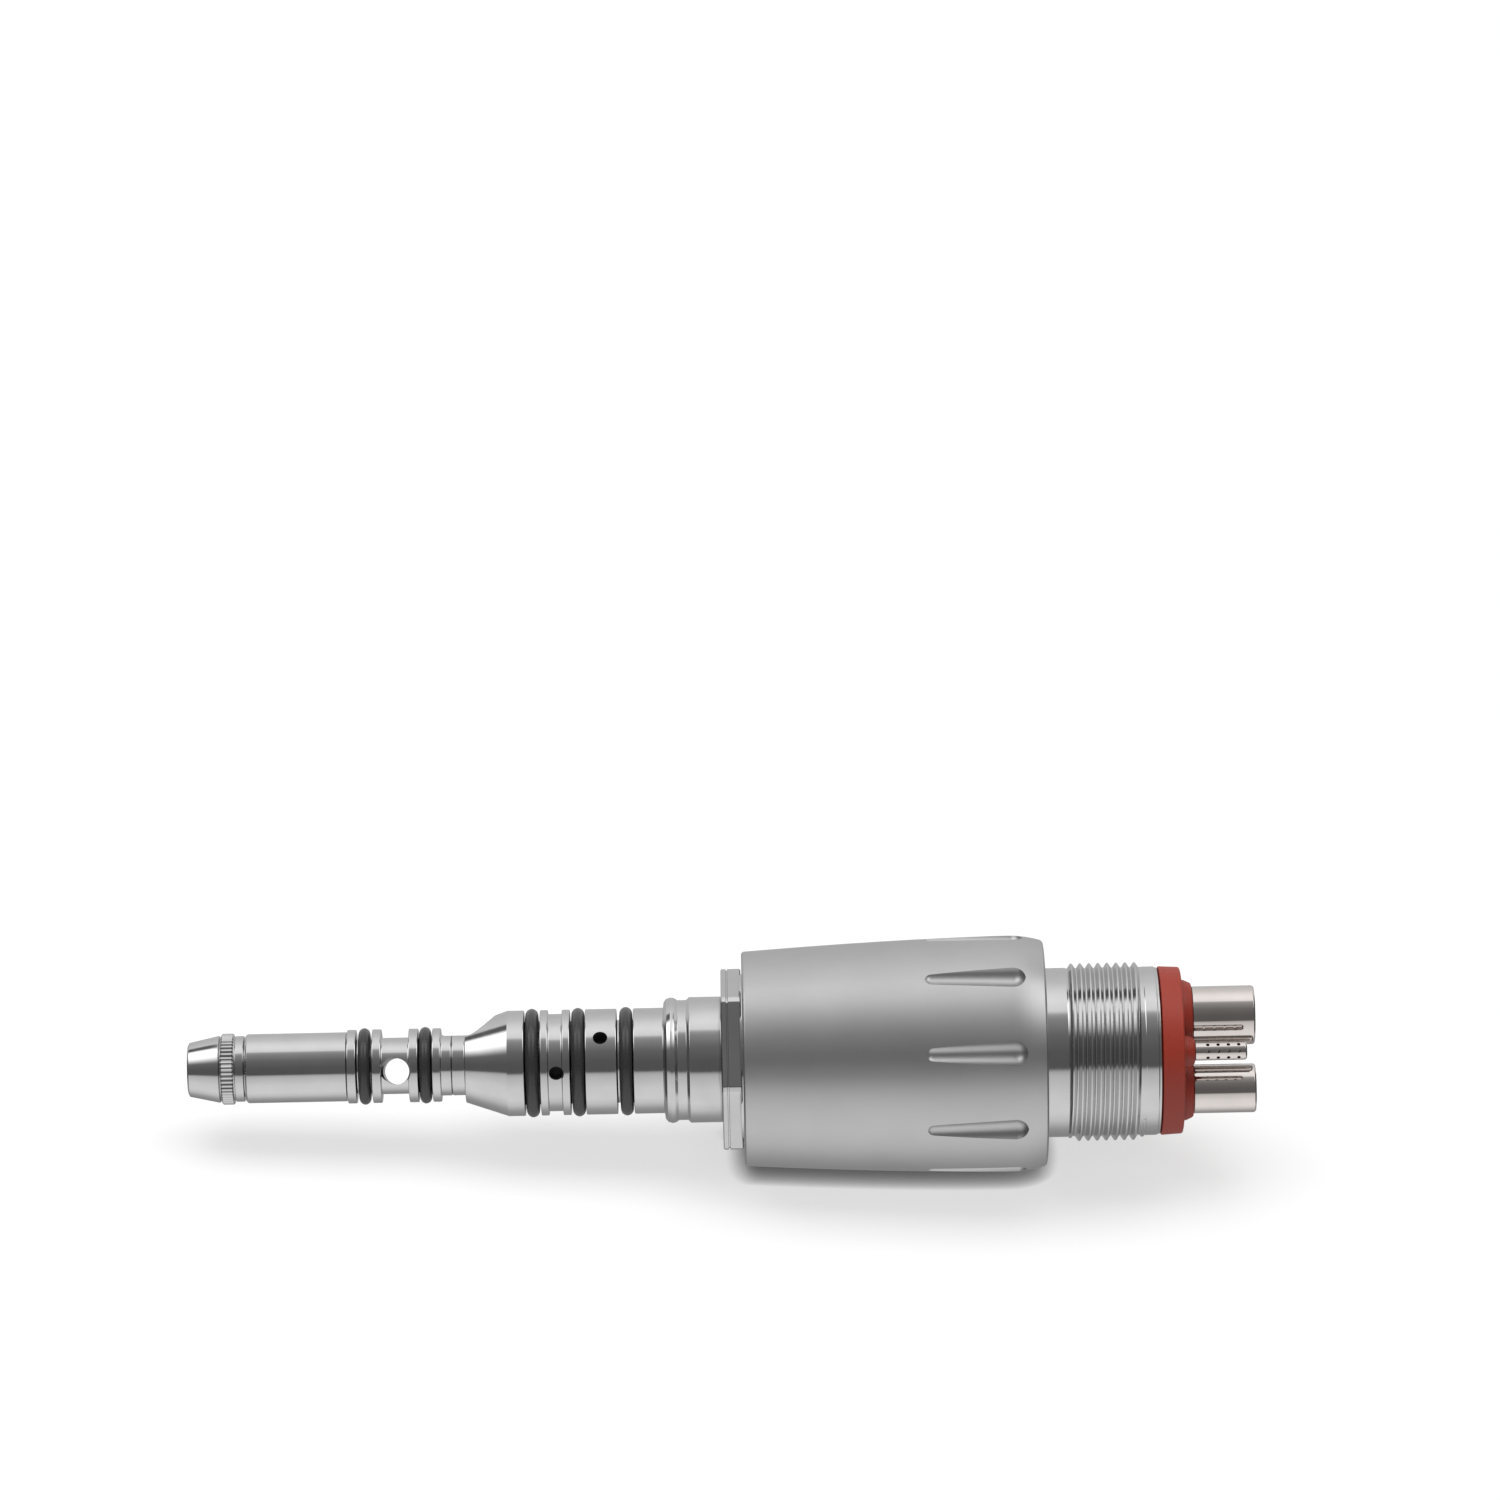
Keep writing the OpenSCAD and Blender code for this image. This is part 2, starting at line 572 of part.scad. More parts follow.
lamp_cap();
lamp_lens();
lamp_body();
lamp_pins();
lamp_socket();
lamp_tube();
lamp_leads();
stem();
for (i = [1:2]) stem_seal(i);
spigot_body();
for (i = [1:3]) spigot_seal(i);
spigot_gasket();
wrench_flange();
valve_body();
contact_board();
regulator_ring();
for (i = [1:4]) ring_seal(i);
ring_clip();
metering_pin();
metering_seal();
metering_spring();
passage_plug();
check_valve_seat();
check_valve_poppet();
check_valve_spring();
rear_connector();
tube_block();
dowel_pins();
exhaust_tube();
drive_tube();
water_tube();
air_tube();
hose_gasket();
contact_pins();
contact_sleeves();
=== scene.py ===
"""Dental handpiece coupler with a lamp tip: finishes, detailed pieces, light and camera around the frame."""

import json
import math

import bmesh
import bpy
from mathutils import Matrix, Vector


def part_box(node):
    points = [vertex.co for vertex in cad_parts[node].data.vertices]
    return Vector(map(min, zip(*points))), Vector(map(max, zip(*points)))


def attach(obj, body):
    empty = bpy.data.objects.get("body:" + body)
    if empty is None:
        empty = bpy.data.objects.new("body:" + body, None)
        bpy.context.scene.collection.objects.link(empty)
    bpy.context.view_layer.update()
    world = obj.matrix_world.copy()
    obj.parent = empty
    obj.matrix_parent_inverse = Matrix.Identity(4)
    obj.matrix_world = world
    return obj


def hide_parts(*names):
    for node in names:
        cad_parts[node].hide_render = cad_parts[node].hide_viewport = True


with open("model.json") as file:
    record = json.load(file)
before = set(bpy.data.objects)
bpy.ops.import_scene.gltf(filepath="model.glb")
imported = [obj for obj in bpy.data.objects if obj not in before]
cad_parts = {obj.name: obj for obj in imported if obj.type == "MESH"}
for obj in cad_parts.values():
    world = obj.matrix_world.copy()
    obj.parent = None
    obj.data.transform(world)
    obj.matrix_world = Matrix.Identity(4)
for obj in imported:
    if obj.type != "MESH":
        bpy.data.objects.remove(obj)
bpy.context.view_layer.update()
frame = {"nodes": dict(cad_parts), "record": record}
nodes = frame["nodes"]

MM = 0.001
UP_CLOCK = 36.0  # clock angle that points along +Z, as in the CAD; 0 is the exhaust tube, 90 the water tube
RUN_GAP = 0.06  # mm, radial gap of a turning fit
SHARP = 38  # degrees; a steeper edge is shaded as a crisp one


# ---------- places read from the frame, in millimetres ----------


def low(node, axis=0):
    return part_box(node)[0][axis] / MM


def high(node, axis=0):
    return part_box(node)[1][axis] / MM


def across(node):
    """Radius of a round node that lies on the axis."""
    return (high(node, 1) - low(node, 1)) / 2


def centre_of(node):
    a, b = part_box(node)
    return (a + b) / 2 / MM


TIP = low("lamp_cap")
TUBE_FRONT = low("lamp_tube")
STEM_FRONT = high("lamp_tube") + 0.06
STEM_R = across("stem")
RING_FRONT, RING_BACK = low("regulator_ring"), high("regulator_ring")
RING_R = across("regulator_ring")
LATCH_R = across("spigot_body")
SPIGOT_R = LATCH_R - 0.71
GASKET_X, COLLAR_X = low("hose_gasket"), high("hose_gasket")


# ---------- mesh helpers ----------


def direction(clock):
    """Unit vector of a clock angle, square to the axis."""
    a = math.radians(UP_CLOCK - clock)
    return Vector((0, math.sin(a), math.cos(a)))


def frame_at(x, clock, out, axis="along"):
    """Matrix that puts a lathed piece on a station, clock angle and distance, along the axis or facing out."""
    place = Matrix.Translation(Vector((x, 0, 0)) * MM + direction(clock) * out * MM)
    if axis == "along":
        return place
    turn = Vector((1, 0, 0)).rotation_difference(direction(clock)).to_matrix().to_4x4()
    return place @ turn


def soften(points, radius, steps=4, sharpest=14):
    """Rounds each corner of an open outline of (x, r) points by a small arc."""
    out = [points[0]]
    for before, here, after in zip(points, points[1:], points[2:]):
        a, b, c = Vector(before), Vector(here), Vector(after)
        to_a, to_c = a - b, c - b
        if to_a.length < 1e-6 or to_c.length < 1e-6:
            continue
        bend = 180 - math.degrees(to_a.angle(to_c))
        if bend < sharpest:
            out.append(here)
            continue
        cut = min(radius * math.tan(math.radians(bend) / 2), 0.45 * to_a.length, 0.45 * to_c.length)
        start, end = b + to_a.normalized() * cut, b + to_c.normalized() * cut
        for i in range(steps + 1):
            t = i / steps
            out.append(tuple(start * (1 - t) ** 2 + b * 2 * t * (1 - t) + end * t * t))
    out.append(points[-1])
    return out


def lathe(bm, points, segments=160, place=None, shape=None):
    """Turns an outline of (x, r) millimetre points about X and adds it to bm; shape(x, r, angle) may change r."""
    place = place or Matrix.Identity(4)
    rings = []
    for x, r in points:
        if r < 1e-6:
            rings.append([bm.verts.new(place @ Vector((x * MM, 0, 0)))])
            continue
        ring = []
        for i in range(segments):
            a = 2 * math.pi * i / segments
            d = shape(x, r, a) if shape else r
            spot = Vector((x * MM, d * MM * math.sin(a), d * MM * math.cos(a)))
            ring.append(bm.verts.new(place @ spot))
        rings.append(ring)
    for one, two in zip(rings, rings[1:]):
        for i in range(max(len(one), len(two))):
            j = (i + 1) % segments
            corners = [one[i % len(one)], one[j % len(one)], two[j % len(two)], two[i % len(two)]]
            face = list(dict.fromkeys(corners))
            if len(face) > 2:
                bm.faces.new(face)
    if len(rings[0]) > 1 and len(rings[-1]) > 1 and points[0] != points[-1]:
        bm.faces.new(rings[0])
        bm.faces.new(list(reversed(rings[-1])))


def shade(mesh, sharp):
    """Smooth except at edges steeper than sharp degrees."""
    for p in mesh.polygons:
        p.use_smooth = True
    mesh.set_sharp_from_angle(angle=math.radians(sharp))


def fair_normals(obj):
    """Keeps flats flat next to rounded edges."""
    fair = obj.modifiers.new("fair", "WEIGHTED_NORMAL")
    fair.keep_sharp = True
    fair.weight = 60


def finish_mesh(name, bm, sharp=SHARP, weighted=True):
    """Makes an object from bm."""
    bmesh.ops.recalc_face_normals(bm, faces=bm.faces)
    mesh = bpy.data.meshes.new(name)
    bm.to_mesh(mesh)
    bm.free()
    shade(mesh, sharp)
    obj = bpy.data.objects.new(name, mesh)
    bpy.context.scene.collection.objects.link(obj)
    if weighted:
        fair_normals(obj)
    return obj


def turned(name, points, radius=0.04, segments=160, place=None):
    bm = bmesh.new()
    lathe(bm, soften(points, radius), segments, place)
    return finish_mesh(name, bm)


def bake_modifiers(obj, sharp=SHARP):
    """Replaces the object's mesh by its evaluated one and clears its modifiers."""
    bpy.context.view_layer.update()
    mesh = bpy.data.meshes.new_from_object(obj.evaluated_get(bpy.context.evaluated_depsgraph_get()))
    obj.modifiers.clear()
    obj.data = mesh
    shade(mesh, sharp)


def mark_cut_edges(obj):
    """Makes every edge between a cut wall and the old surface crisp."""
    bm = bmesh.new()
    bm.from_mesh(obj.data)
    for one in bm.edges:
        if len({f.material_index for f in one.link_faces}) > 1:
            one.smooth = False
    bm.to_mesh(obj.data)
    bm.free()


def drill(obj, cutters, sharp=SHARP, painted_shade_lining=None):
    """Cuts each (outline, place) lathe out of obj; if a lining is given, the cut walls get it: a near-black
    material that paints shade inside the holes.
    """
    obj.modifiers.clear()
    bm = bmesh.new()
    for points, place in cutters:
        lathe(bm, points, 48, place)
    tool = finish_mesh(obj.name + "_tool", bm, weighted=False)
    cut = obj.modifiers.new("cut", "BOOLEAN")
    cut.operation, cut.solver, cut.object, cut.use_self = "DIFFERENCE", "EXACT", tool, True
    if not obj.data.materials:
        obj.data.materials.append(None)
    tool.data.materials.append(painted_shade_lining or STEEL)
    cut.material_mode = "TRANSFER"
    bake_modifiers(obj, sharp)
    mark_cut_edges(obj)
    if not painted_shade_lining:
        last = len(obj.data.materials) - 1
        for p in obj.data.polygons:
            if p.material_index == last:
                p.material_index = 0
        obj.data.materials.pop()
    bpy.data.objects.remove(tool)
    fair_normals(obj)


def hole(r, depth, surface, rim):
    """Outline of a drill that goes depth deep below the surface, with a countersunk rim."""
    return [(surface - depth, 0), (surface - depth, r), (surface - rim, r), (surface + rim, r + 2 * rim),
            (surface + 1, r + 2 * rim), (surface + 1, 0)]


# ---------- materials ----------


def material(name):
    mat = bpy.data.materials.new(name)
    mat.use_nodes = True
    tree = mat.node_tree
    return mat, tree, tree.nodes["Principled BSDF"]


def add(tree, kind, **settings):
    n = tree.nodes.new(kind)
    for key, value in settings.items():
        if key in n.inputs:
            n.inputs[key].default_value = value
        else:
            setattr(n, key, value)
    return n


def noise(tree, scale, detail=4.0, stretch=(1, 1, 1)):
    """A noise texture in the object's own space, with the scale given per millimetre."""
    where = add(tree, "ShaderNodeTexCoord")
    size = add(tree, "ShaderNodeMapping")
    size.inputs["Scale"].default_value = [s / MM * scale for s in stretch]
    tree.links.new(where.outputs["Object"], size.inputs["Vector"])
    n = add(tree, "ShaderNodeTexNoise", Scale=1.0, Detail=detail)
    tree.links.new(size.outputs["Vector"], n.inputs["Vector"])
    return n


def opaque(value):
    """RGBA of a colour or of a grey level."""
    return (*value, 1) if isinstance(value, tuple) else (value, value, value, 1)


def ramp(tree, source, low_value, high_value, start=0.3, end=0.7):
    """Maps a 0-1 source to a range or to a pair of colours."""
    r = add(tree, "ShaderNodeValToRGB")
    e = r.color_ramp.elements
    e[0].position, e[1].position = start, end
    e[0].color, e[1].color = opaque(low_value), opaque(high_value)
    tree.links.new(source, r.inputs["Fac"])
    return r.outputs["Color"]


def bump(tree, shader, height, strength, distance):
    b = add(tree, "ShaderNodeBump", Strength=strength, Distance=distance * MM)
    tree.links.new(height, b.inputs["Height"])
    tree.links.new(b.outputs["Normal"], shader.inputs["Normal"])


def turned_metal(name, colour, rough, grooves=0.35, depth=0.002):
    """Metal with fine lathe marks round the axis, smudged a little."""
    mat, tree, shader = material(name)
    shader.inputs["Metallic"].default_value = 1.0
    lines = noise(tree, 18, 3.0, (1, 0.01, 0.01))
    smudge = noise(tree, 0.5, 5.0)
    tint = tuple(c * 0.93 for c in colour)
    tree.links.new(ramp(tree, smudge.outputs["Fac"], tint, colour), shader.inputs["Base Color"])
    mixed = add(tree, "ShaderNodeMath", operation="MULTIPLY")
    tree.links.new(lines.outputs["Fac"], mixed.inputs[0])
    tree.links.new(ramp(tree, smudge.outputs["Fac"], 0.75, 1.0), mixed.inputs[1])
    worn = ramp(tree, mixed.outputs[0], rough * 0.8, rough * 1.35, 0.2, 0.7)
    tree.links.new(worn, shader.inputs["Roughness"])
    bump(tree, shader, lines.outputs["Fac"], grooves, depth)
    return mat


def satin_metal(name, colour, rough):
    """Bead-blasted metal: an even fine grain."""
    mat, tree, shader = material(name)
    shader.inputs["Metallic"].default_value = 1.0
    grain = noise(tree, 16, 4.0)
    cloud = noise(tree, 0.25, 3.0)
    tint = tuple(c * 0.95 for c in colour)
    tree.links.new(ramp(tree, cloud.outputs["Fac"], tint, colour), shader.inputs["Base Color"])
    tree.links.new(ramp(tree, grain.outputs["Fac"], rough * 0.92, rough * 1.1), shader.inputs["Roughness"])
    bump(tree, shader, grain.outputs["Fac"], 0.35, 0.006)
    return mat


def rubber(name, colour, rough=0.5, sheen=0.0, soft=0.0):
    mat, tree, shader = material(name)
    speck = noise(tree, 9, 5.0)
    tint = tuple(c * 0.8 for c in colour)
    tree.links.new(ramp(tree, speck.outputs["Fac"], tint, colour), shader.inputs["Base Color"])
    tree.links.new(ramp(tree, speck.outputs["Fac"], rough * 0.85, rough * 1.15), shader.inputs["Roughness"])
    shader.inputs["Sheen Weight"].default_value = sheen
    shader.inputs["Subsurface Weight"].default_value = soft
    shader.inputs["Subsurface Scale"].default_value = 0.4 * MM
    bump(tree, shader, speck.outputs["Fac"], 0.25, 0.01)
    return mat


def plastic(name, colour, rough=0.4, metal=0.0):
    mat, tree, shader = material(name)
    shader.inputs["Metallic"].default_value = metal
    speck = noise(tree, 6, 4.0)
    tint = tuple(c * 0.9 for c in colour)
    tree.links.new(ramp(tree, speck.outputs["Fac"], tint, colour), shader.inputs["Base Color"])
    tree.links.new(ramp(tree, speck.outputs["Fac"], rough * 0.9, rough * 1.1), shader.inputs["Roughness"])
    bump(tree, shader, speck.outputs["Fac"], 0.15, 0.005)
    return mat


def clear_dome(name):
    mat, tree, shader = material(name)
    haze = noise(tree, 1.5, 3.0)
    shader.inputs["Transmission Weight"].default_value = 1.0
    shader.inputs["IOR"].default_value = 1.49
    tree.links.new(ramp(tree, haze.outputs["Fac"], 0.03, 0.1), shader.inputs["Roughness"])
    tint = ramp(tree, haze.outputs["Fac"], (0.93, 0.96, 1.0), (0.98, 0.99, 1.0))
    tree.links.new(tint, shader.inputs["Base Color"])
    return mat


STEEL = turned_metal("turned_steel", (0.59, 0.59, 0.59), 0.10)
POLISHED = turned_metal("polished_steel", (0.60, 0.60, 0.60), 0.09, 0.15, 0.001)
NICKEL = turned_metal("nickel", (0.70, 0.65, 0.625), 0.07, 0.1, 0.0006)
SATIN = satin_metal("satin_ring", (0.54, 0.54, 0.54), 0.42)
# Painted shade: the walls of drilled holes get this near-black colour so that they look dark inside.
HOLE_PAINTED_SHADE = plastic("painted_hole_shade", (0.06, 0.06, 0.06), 0.45, 0.6)
BLACK_RUBBER = rubber("black_rubber", (0.022, 0.022, 0.023), 0.3, 0.05)
RED_RUBBER = rubber("red_silicone", (0.25, 0.019, 0.006), 0.5, 0.0, 0.05)
GREY_RUBBER = rubber("grey_sheet", (0.12, 0.13, 0.14), 0.6)
BRASS = plastic("brass_metal", (0.80, 0.62, 0.30), 0.25, 1.0)
SPRING = plastic("spring_wire", (0.62, 0.62, 0.62), 0.28, 1.0)
DARK_PLASTIC = plastic("dark_insulator", (0.05, 0.05, 0.055), 0.45)
WHITE_PLASTIC = plastic("white_insulator", (0.78, 0.78, 0.75), 0.4)
CERAMIC = plastic("lamp_ceramic", (0.85, 0.84, 0.80), 0.3)
BOARD = plastic("board_green", (0.03, 0.16, 0.07), 0.4)
WIRE = plastic("wire_sleeve", (0.42, 0.05, 0.04), 0.45)
CLEAR = clear_dome("lamp_clear")

SLOT_MATERIALS = {
    "steel": STEEL, "nickel": NICKEL, "ring": SATIN, "seal_rubber": BLACK_RUBBER, "gasket_rubber": RED_RUBBER,
    "gasket_grey": GREY_RUBBER, "lens": CLEAR, "lamp": CERAMIC, "insulator": DARK_PLASTIC,
    "insulator_white": WHITE_PLASTIC, "lead": WIRE, "brass": BRASS, "board": BOARD, "spring": SPRING,
}
slot_of = {s["node"]: s["material_slot"] for s in frame["record"]["subparts"]}
for name, node in nodes.items():
    node.data.materials.clear()
    node.data.materials.append(SLOT_MATERIALS[slot_of[name]])


def place_piece(obj, node, mat=None):
    """Gives the piece its finish, lets it ride on the node's body and stand for the node."""
    finish = mat or SLOT_MATERIALS[slot_of[node]]
    if obj.data.materials:
        obj.data.materials[0] = finish
    else:
        obj.data.materials.append(finish)
    body = next(b for b, members in frame["record"]["behaviour"]["bodies"].items() if node in members)
    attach(obj, body)
    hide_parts(node)
    return obj


# ---------- lamp tip ----------

CAP_BACK = -33.6
KNURL = (-35.2, -34.3)
KNURL_R = across("lamp_cap")
KNURL_TEETH = 48
KNURL_DEPTH = 0.065
KNURL_GAP = 1 / 1.4  # share of the pitch that the groove between two teeth takes
CAP_FRONT_R = 1.94
LENS_HOLE_R = 1.25


def knurled(x, r, a):
    """Radius of the grip at an angle: flat crests with a groove between them."""
    if r <= 2:
        return r
    off_middle = abs(2 * ((a * KNURL_TEETH / (2 * math.pi)) % 1) - 1)
    return r - KNURL_DEPTH * max(0, 1 - off_middle / KNURL_GAP)


def lamp_cap():
    outline = [
        (TIP + 1.5, 0), (TIP + 1.5, LENS_HOLE_R), (TIP, LENS_HOLE_R), (TIP, CAP_FRONT_R - 0.22),
        (TIP + 0.1, CAP_FRONT_R - 0.04), (-35.36, 2.36), (-35.26, 2.22), (KNURL[0] + 0.1, 2.22),
        (KNURL[0] + 0.1, 2.0), (KNURL[1] - 0.1, 2.0), (KNURL[1] - 0.1, 2.22), (-34.2, 2.22), (-34.2, 2.31),
        (CAP_BACK, 2.31), (CAP_BACK, 1.95), (CAP_BACK + 2, 1.95), (CAP_BACK + 2, 0),
    ]
    bm = bmesh.new()
    lathe(bm, soften(outline, 0.05), 128)
    start, end = KNURL
    grip = [(start, 1.9), (start, KNURL_R - 0.1), (start + 0.09, KNURL_R), (end - 0.09, KNURL_R),
            (end, KNURL_R - 0.1), (end, 1.9), (start, 1.9)]
    lathe(bm, grip, KNURL_TEETH * 8, shape=knurled)
    return place_piece(finish_mesh("lamp_cap_detail", bm, 30), "lamp_cap")


def lamp_tube():
    r, back, bore = across("lamp_tube"), high("lamp_tube"), 2.01
    return place_piece(turned("lamp_tube_detail", [
        (TUBE_FRONT, bore), (TUBE_FRONT, r - 0.14), (TUBE_FRONT + 0.14, r), (back, r), (back, bore),
        (TUBE_FRONT, bore),
    ], 0.03), "lamp_tube", POLISHED)


# ---------- stem ----------

PORT_X, PORT_R = -22.89, 0.925
PORT_DOWN = 0.4  # distance of the port's axis from the stem's, away from the exhaust side
PORT_CLOCK = 85
PORT_GROOVE_R = 1.98
NECK_R = 2.16
SEAM_X = -19.0  # joint between the stem and the spigot body
RELIEF = {"x": -17.82, "r": 1.92, "floor": 2.04}
EXHAUST_WAYS = [(-16.8, -26), (-16.35, 0), (-16.8, 26)]  # start and clock angle
EXHAUST_OUT, EXHAUST_R = 2.28, 0.44


def relief_cutter():
    """The flat-floored round relief on the exhaust side."""
    f = RELIEF["floor"]
    outline = [(f, 0), (f, RELIEF["r"] - 0.06), (f + 0.06, RELIEF["r"]), (f + 3, RELIEF["r"]), (f + 3, 0)]
    return outline, frame_at(RELIEF["x"], 0, 0, "out")


def stem():
    groove = 1.86
    obj = turned("stem_detail", [
        (-27.4, 0), (-27.4, 1.98), (STEM_FRONT, 1.98), (STEM_FRONT, STEM_R), (-25.7, STEM_R), (-25.7, groove),
        (-24.58, groove), (-24.58, STEM_R), (-23.94, STEM_R), (-23.94, PORT_GROOVE_R), (-22.01, PORT_GROOVE_R),
        (-22.01, STEM_R), (-21.34, STEM_R), (-21.34, groove), (-20.35, groove), (-20.35, STEM_R),
        (-19.75, STEM_R), (-19.75, NECK_R), (SEAM_X - 0.05, NECK_R), (SEAM_X, NECK_R - 0.05), (SEAM_X, 1.75),
        (-16.5, 1.75), (-16.5, 0),
    ], 0.08)
    rim, far = 0.07, 4.0
    wide = PORT_R + 2 * rim
    mouth, throat = PORT_GROOVE_R + rim - 0.25, PORT_GROOVE_R - rim - 0.3
    port = [(-far, 0), (-far, wide), (-mouth, wide), (-throat, PORT_R),
            (throat, PORT_R), (mouth, wide), (far, wide), (far, 0)]
    across_stem = frame_at(PORT_X, PORT_CLOCK + 90, PORT_DOWN) @ frame_at(0, 90, 0, "out")
    lead_channel = [(-28, 0), (-28, 0.45), (-15, 0.45), (-15, 0)]
    drive_channel = [(PORT_X - 0.2, 0), (PORT_X - 0.2, 0.75), (-15, 0.75), (-15, 0)]
    drill(obj, [(port, across_stem), (lead_channel, frame_at(0, 0, 1.15)),
                (drive_channel, frame_at(0, 180, PORT_DOWN)), relief_cutter()])
    return place_piece(obj, "stem")


# ---------- spigot ----------

CONE_X, CONE_FRONT_R, CONE_BASE_X = -18.05, 2.68, -15.05
OUTLETS = [(-11.62, 102.7, 3.42), (-8.5, 63.1, 3.71)]  # station, clock angle and radius of the surface there
OUTLET_R, OUTLET_DEPTH = 0.475, 1.4


def spigot_body():
    root = 2.91
    profile = [
        (SEAM_X + 0.02, 1.77), (SEAM_X + 0.02, NECK_R - 0.05), (SEAM_X + 0.07, NECK_R), (CONE_X, NECK_R),
        (CONE_X, CONE_FRONT_R), (CONE_BASE_X, SPIGOT_R), (-13.87, SPIGOT_R), (-13.87, root), (-12.75, root),
        (-12.75, SPIGOT_R), (-12.2, SPIGOT_R), (-12.2, 3.42), (-11.21, 3.42), (-11.21, SPIGOT_R),
        (-10.65, SPIGOT_R), (-10.65, root), (-9.58, root), (-9.58, SPIGOT_R), (-7.37, SPIGOT_R), (-7.37, root),
        (-6.2, root), (-6.2, SPIGOT_R), (-4.08, SPIGOT_R), (-4.04, 4.1), (-3.85, 4.33), (-3.57, LATCH_R),
        (-3.3, 4.37), (-3.08, 4.22), (-2.46, 4.22), (-2.25, LATCH_R), (0, LATCH_R), (0, 3.3), (5, 3.3), (5, 0),
        (-16.45, 0), (-16.45, 1.77), (SEAM_X + 0.02, 1.77),
    ]
    bm = bmesh.new()
    lathe(bm, soften(profile, 0.08), 192)
    body = finish_mesh("spigot_body_detail", bm)
    ways = [([(start, 0), (start, EXHAUST_R), (-12, EXHAUST_R), (-12, 0)], frame_at(0, clock, EXHAUST_OUT))
            for start, clock in EXHAUST_WAYS]
    # The outlet walls get the near-black painted shade.
    drill(body, [(hole(OUTLET_R, OUTLET_DEPTH, surface, 0.04), frame_at(x, clock, 0, "out"))
                 for x, clock, surface in OUTLETS], painted_shade_lining=HOLE_PAINTED_SHADE)
    drill(body, ways + [relief_cutter()])
    return place_piece(body, "spigot_body")


MOULD_LINE = 0.012


def seal_ring(node, flat=0.92):
    """A rubber ring, a little flattened where it's squeezed into its groove, with a faint mould line."""
    r, wide = across(node), high(node) - low(node)
    x = centre_of(node).x
    half = wide / 2
    steps = 28
    section = []
    for i in range(steps + 1):
        a = 2 * math.pi * i / steps
        tall = half if math.sin(a) > 0 else half * flat
        if i == steps // 4:
            tall += MOULD_LINE
        section.append((x + half * math.cos(a), r - half + tall * math.sin(a)))
    section[-1] = section[0]
    bm = bmesh.new()
    lathe(bm, section, 144)
    bmesh.ops.remove_doubles(bm, verts=bm.verts, dist=1e-7)
    return place_piece(finish_mesh(node + "_detail", bm, 60, False), node)


# ---------- wrench flange ----------

HEX_CORNER_CLOCK = 49.5
HEX_ACROSS = 13.1
HEX_LENGTH = 1.41
GROOVE_X = 0.42
CORE_R = 5.95


def hex_radius(corner_r, blend=0.12):
    """Radius of a hexagon at an angle, its corners rounded a little."""
    turn = math.radians(UP_CLOCK - HEX_CORNER_CLOCK)
    flat = corner_r * math.cos(math.pi / 6)

    def at(x, r, a):
        if r < 5.0:
            return r
        t = (a - turn + math.pi / 6) % (math.pi / 3) - math.pi / 6
        edge = flat / math.cos(math.pi / 6 - abs(t))
        return min(edge, corner_r - blend) * (r / corner_r)

    return at


def wrench_flange():
    corner = HEX_ACROSS / 2
    bm = bmesh.new()
    low_r = corner - 0.1
    plates = [(0, 4.3), (0, low_r), (0.07, corner), (GROOVE_X - 0.07, corner), (GROOVE_X - 0.04, low_r),
              (GROOVE_X + 0.04, low_r), (GROOVE_X + 0.07, corner), (HEX_LENGTH - 0.07, corner),
              (HEX_LENGTH, low_r), (HEX_LENGTH, 4.3), (0, 4.3)]
    lathe(bm, soften(plates, 0.02, 2), 720, shape=hex_radius(corner))
    hub = [(0.02, 3.32), (0.02, 4.6), (HEX_LENGTH - 0.1, 4.6), (HEX_LENGTH - 0.1, CORE_R), (6.2, CORE_R),
           (6.2, 3.32), (0.02, 3.32)]
    lathe(bm, hub, 120)
    return place_piece(finish_mesh("wrench_flange_detail", bm, 30), "wrench_flange")


# ---------- regulator ring ----------

RING_RISE, RING_PEAK = 0.75, 20.3
FLUTES = 9
FLUTE = {"front": 14.1, "back": 21.3, "front_r": 0.62, "back_r": 0.93, "front_h": 0.42, "back_h": 0.28}


def barrel(x):
    """Radius of the regulator ring at a station."""
    if x < RING_PEAK:
        return RING_R - RING_RISE * ((RING_PEAK - x) / (RING_PEAK - 1.7)) ** 1.6
    return RING_R - (x - RING_PEAK) ** 2 / 15


def scoop(x):
    """Radius and height above the surface of the round cutter that makes a flute, at station x."""
    f = FLUTE
    start, end = f["front"] + f["front_r"], f["back"] - f["back_r"]
    t = min(max((x - start) / (end - start), 0), 1)
    r = f["front_r"] + (f["back_r"] - f["front_r"]) * t
    h = f["front_h"] + (f["back_h"] - f["front_h"]) * t
    beyond = max(start - x, x - end, 0)
    return math.sqrt(max(r * r - beyond * beyond, 0)), h


def flute_half_width(x):
    r, h = scoop(x)
    return math.sqrt(max(r * r - h * h, 0))


